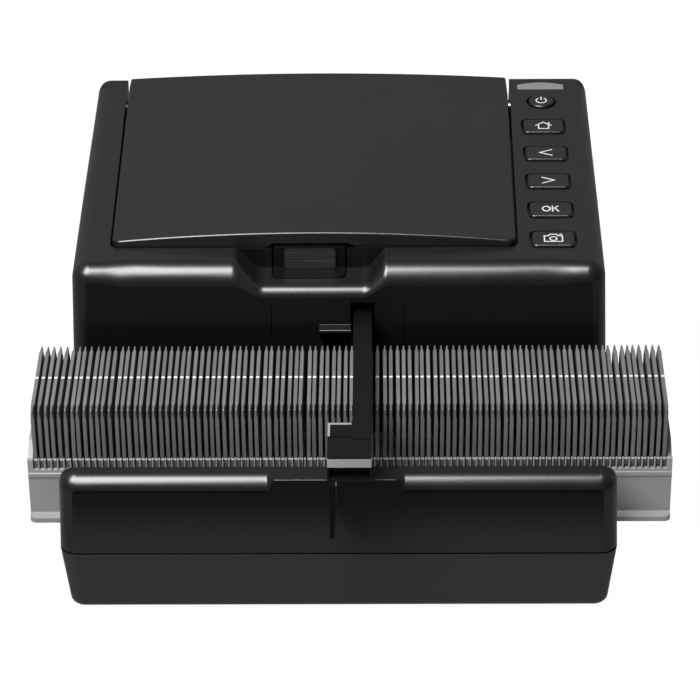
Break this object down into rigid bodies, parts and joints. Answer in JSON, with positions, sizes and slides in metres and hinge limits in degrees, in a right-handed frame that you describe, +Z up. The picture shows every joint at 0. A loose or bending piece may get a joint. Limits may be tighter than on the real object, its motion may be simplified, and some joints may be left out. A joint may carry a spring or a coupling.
{
  "type": "film and slide scanner",
  "caption": "Black stand-alone slide and film scanner with a straight slide tray in front, a pusher arm, a flip-up display lid and a row of keys.",
  "frame": {"origin": "on the table plane under the middle of the object's bounding box", "axes": "+X to the viewer's right along the tray, +Y from the front rail to the rear, +Z up"},
  "size_m": [0.2728, 0.286, 0.1273],
  "materials": {
    "case_black": "fine moulded grain, satin",
    "deck_black": "matte",
    "key_black": "semi-gloss",
    "pad_grey": "fine ribbed",
    "foot_rubber": "matte",
    "light_grey": "translucent, satin",
    "tray_grey": "satin",
    "mount_grey": "matte",
    "film": "glossy, translucent",
    "board_green": "solder mask",
    "steel": "zinc plated",
    "alloy": "turned",
    "port_metal": "stamped",
    "port_black": "satin",
    "lens_black": "matte anodised",
    "optic_glass": "polished",
    "gear_white": "satin"
  },
  "bodies": {
    "base": {"lower_shell": "case_black", "upper_shell": "case_black", "front_rail": "case_black", "tray_deck": "deck_black", "gate_panel": "case_black", "status_light": "light_grey", "button_board": "board_green", "main_board": "board_green", "rubber_feet": "foot_rubber", "case_screws": "steel", "hinge_pins": "steel", "inner_chassis": "steel", "film_gate": "deck_black", "diffuser": "light_grey", "backlight_board": "board_green", "lens_barrel": "lens_black", "lens_glass": "optic_glass", "lens_mount": "deck_black", "sensor_board": "board_green", "guide_rods": "steel", "arm_motor": "steel", "drive_belt": "foot_rubber", "tray_motor": "steel", "shaft_bracket": "deck_black", "power_inlet": "port_black", "data_port": "port_metal", "video_port": "port_metal", "card_slot": "port_metal"},
    "lid": {"lid_cover": "case_black", "lid_bezel": "case_black", "display_glass": "optic_glass"},
    "release": {"release_button": "key_black", "release_pad": "pad_grey"},
    "key_power": {"power_button": "key_black"},
    "key_home": {"home_button": "key_black"},
    "key_back": {"back_button": "key_black"},
    "key_next": {"next_button": "key_black"},
    "key_ok": {"ok_button": "key_black"},
    "key_capture": {"capture_button": "key_black"},
    "slide_tray": {"tray_body": "tray_grey", "tray_rack": "tray_grey", "slide_mounts": "mount_grey"},
    "fed_slide": {"fed_slide_mount": "mount_grey", "fed_slide_film": "film"},
    "changer": {"changer_arm": "key_black", "pusher_blade": "key_black", "arm_carriage": "deck_black", "belt_clamp": "alloy"},
    "pulley_motor": {"drive_pulley": "alloy"},
    "pulley_idler": {"idler_pulley": "alloy"},
    "tray_drive": {"tray_gear": "gear_white", "tray_shaft": "steel"}
  },
  "joints": [
    {"name": "lid_hinge", "type": "hinge", "parent": "base", "child": "lid", "pos_m": [-0.0156, 0.122, 0.117], "axis": [-1, 0, 0], "range_deg": [0, 105]},
    {"name": "release_press", "type": "slide", "parent": "base", "child": "release", "axis": [0, 1, 0], "range_m": [0, 0.0015], "stiffness_N_per_m": 500},
    {"name": "power_press", "type": "slide", "parent": "base", "child": "key_power", "axis": [0, 0, -1], "range_m": [0, 0.0009], "stiffness_N_per_m": 300},
    {"name": "home_press", "type": "slide", "parent": "base", "child": "key_home", "axis": [0, 0, -1], "range_m": [0, 0.0009], "stiffness_N_per_m": 300},
    {"name": "back_press", "type": "slide", "parent": "base", "child": "key_back", "axis": [0, 0, -1], "range_m": [0, 0.0009], "stiffness_N_per_m": 300},
    {"name": "next_press", "type": "slide", "parent": "base", "child": "key_next", "axis": [0, 0, -1], "range_m": [0, 0.0009], "stiffness_N_per_m": 300},
    {"name": "ok_press", "type": "slide", "parent": "base", "child": "key_ok", "axis": [0, 0, -1], "range_m": [0, 0.0009], "stiffness_N_per_m": 300},
    {"name": "capture_press", "type": "slide", "parent": "base", "child": "key_capture", "axis": [0, 0, -1], "range_m": [0, 0.0009], "stiffness_N_per_m": 300},
    {"name": "tray_travel", "type": "slide", "parent": "base", "child": "slide_tray", "axis": [1, 0, 0], "range_m": [-0.138, 0.15]},
    {"name": "slide_feed", "type": "slide", "parent": "slide_tray", "child": "fed_slide", "axis": [0, 1, 0], "range_m": [0, 0.0534]},
    {"name": "arm_travel", "type": "slide", "parent": "base", "child": "changer", "axis": [0, 1, 0], "range_m": [0, 0.079]},
    {"name": "motor_pulley_turn", "type": "hinge", "parent": "base", "child": "pulley_motor", "pos_m": [0.0282, 0.082, 0.094], "axis": [0, 0, -1], "range_deg": [0, 755.5]},
    {"name": "idler_pulley_turn", "type": "hinge", "parent": "base", "child": "pulley_idler", "pos_m": [0.0282, -0.009, 0.094], "axis": [0, 0, -1], "range_deg": [0, 755.5]},
    {"name": "tray_gear_turn", "type": "hinge", "parent": "base", "child": "tray_drive", "pos_m": [-0.00671, -0.049, 0.02364], "axis": [0, 1, 0], "range_deg": [-775, 842]}
  ],
  "couplings": [
    {"joint": "slide_feed", "follows": "arm_travel", "ratio": 0.67468},
    {"joint": "motor_pulley_turn", "follows": "arm_travel", "rad_per_m": 166.67},
    {"joint": "idler_pulley_turn", "follows": "arm_travel", "rad_per_m": 166.67},
    {"joint": "tray_gear_turn", "follows": "tray_travel", "rad_per_m": 97.468}
  ]
}
